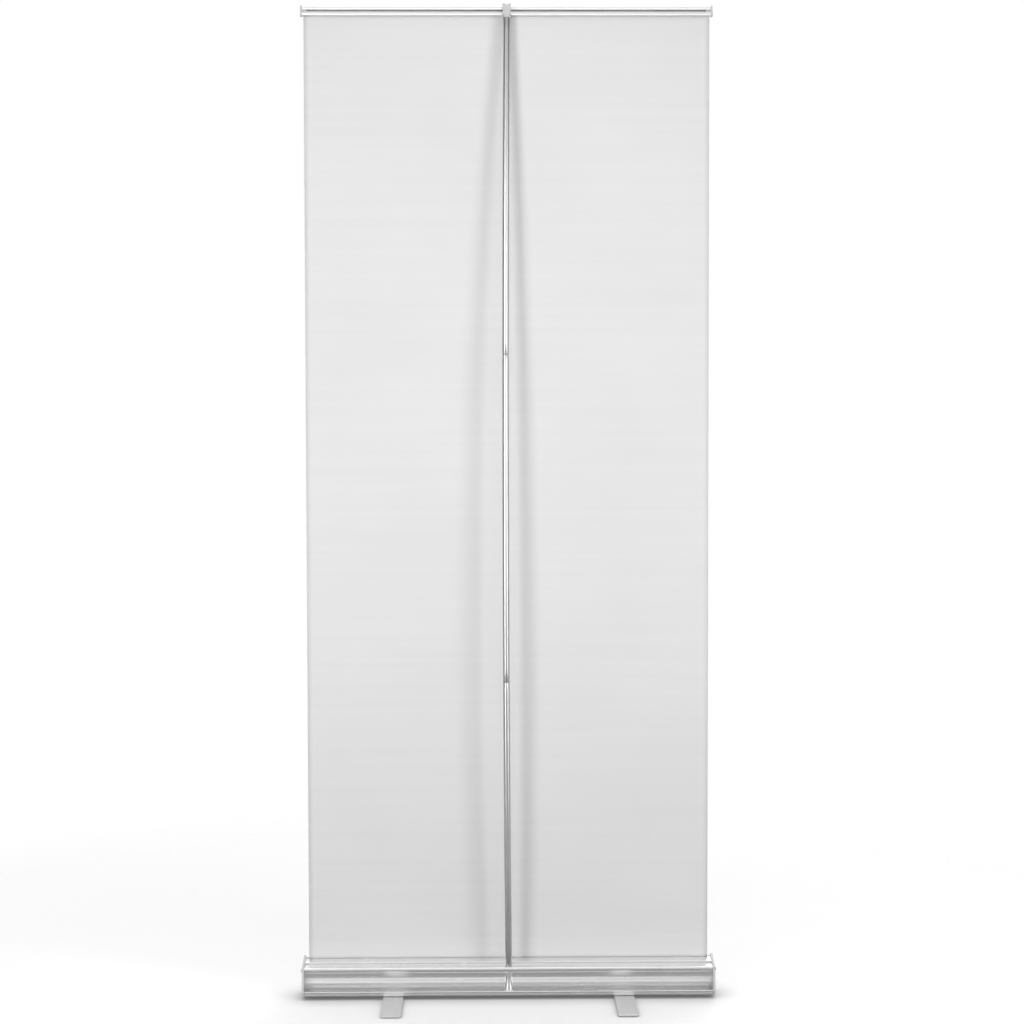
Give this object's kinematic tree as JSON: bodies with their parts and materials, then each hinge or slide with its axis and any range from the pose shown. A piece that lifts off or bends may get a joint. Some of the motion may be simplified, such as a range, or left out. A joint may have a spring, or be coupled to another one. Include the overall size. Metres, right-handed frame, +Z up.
{
  "type": "roll-up banner stand",
  "caption": "Free-standing roll-up banner: a film sheet drawn up out of a low aluminium cassette by a clamping rail, held by a jointed pole behind it, on two swivelling feet.",
  "frame": {"origin": "on the floor, at the middle of the stand: halfway between the two feet's pivots", "axes": "+Z up, +X along the banner's width, +Y the way the printed face looks; the pole stands on the -Y side"},
  "size_m": [0.8766, 0.364, 2.0869],
  "materials": {
    "aluminium_extrusion": "satin anodised, fine lines along the extrusion",
    "pole_tube": "bright drawn tube, semi-gloss",
    "grey_plastic": "moulded, fine spark grain",
    "steel": "zinc plated",
    "banner_film": "matte light grey back of a white banner film",
    "nylon": "moulded, natural",
    "rubber": "matt black",
    "elastic_cord": "braided elastic cord"
  },
  "bodies": {
    "cassette": {"cassette_housing": "aluminium_extrusion", "left_end_cap": "grey_plastic", "right_end_cap": "grey_plastic", "left_cap_screw_front": "steel", "left_cap_screw_rear": "steel", "right_cap_screw_front": "steel", "right_cap_screw_rear": "steel", "pole_socket": "pole_tube", "spring_shaft": "steel", "torsion_spring": "steel", "left_foot_pivot_bolt": "steel", "left_foot_pivot_nut": "steel", "left_foot_washer": "nylon", "right_foot_pivot_bolt": "steel", "right_foot_pivot_nut": "steel", "right_foot_washer": "nylon"},
    "roller": {"roller_tube": "steel", "roller_spring_plug": "nylon", "roller_axle_plug": "nylon", "film_roll": "banner_film"},
    "left_foot": {"left_foot": "aluminium_extrusion", "left_foot_rear_pad": "rubber", "left_foot_front_pad": "rubber"},
    "right_foot": {"right_foot": "aluminium_extrusion", "right_foot_rear_pad": "rubber", "right_foot_front_pad": "rubber"},
    "pole_bottom": {"pole_bottom_tube": "pole_tube", "pole_seat_plug": "grey_plastic", "lower_ferrule": "steel", "bungee_cord": "elastic_cord"},
    "pole_middle": {"pole_middle_tube": "pole_tube", "upper_ferrule": "steel"},
    "pole_top": {"pole_top_tube": "pole_tube", "pole_head": "grey_plastic"},
    "rail": {"rail_profile": "aluminium_extrusion", "rail_grip_strip": "nylon", "left_rail_cap": "grey_plastic", "right_rail_cap": "grey_plastic", "banner_sheet": "banner_film"}
  },
  "joints": [
    {"name": "left_foot_swivel", "type": "hinge", "parent": "cassette", "child": "left_foot", "pos_m": [-0.243, 0, 0.004], "axis": [0, 0, 1], "range_deg": [0, 90]},
    {"name": "right_foot_swivel", "type": "hinge", "parent": "cassette", "child": "right_foot", "pos_m": [0.243, 0, 0.004], "axis": [0, 0, 1], "range_deg": [-90, 0]},
    {"name": "pole_lift", "type": "slide", "parent": "cassette", "child": "pole_bottom", "axis": [0.009, 0.0327, -0.9994], "range_m": [-0.028, 0]},
    {"name": "pole_middle_pull", "type": "slide", "parent": "pole_bottom", "child": "pole_middle", "axis": [0.0036, 0.0037, -1], "range_m": [-0.034, 0], "stiffness_N_per_m": 60, "springref_m": 0.2, "deforming": ["bungee_cord"]},
    {"name": "pole_top_pull", "type": "slide", "parent": "pole_middle", "child": "pole_top", "axis": [0.0027, 0.0295, 0.9996], "range_m": [0, 0.034], "stiffness_N_per_m": 60, "springref_m": -0.2},
    {"name": "rail_slide", "type": "slide", "parent": "pole_top", "child": "rail", "axis": [0, 0, -1], "range_m": [0, 1.98], "deforming": ["banner_sheet"]},
    {"name": "roller_spin", "type": "hinge", "parent": "cassette", "child": "roller", "pos_m": [0, 0.01015, 0.03598], "axis": [1, 0, 0], "continuous": true}
  ],
  "couplings": [
    {"joint": "roller_spin", "follows": "rail_slide", "rad_per_m": -61.3}
  ]
}
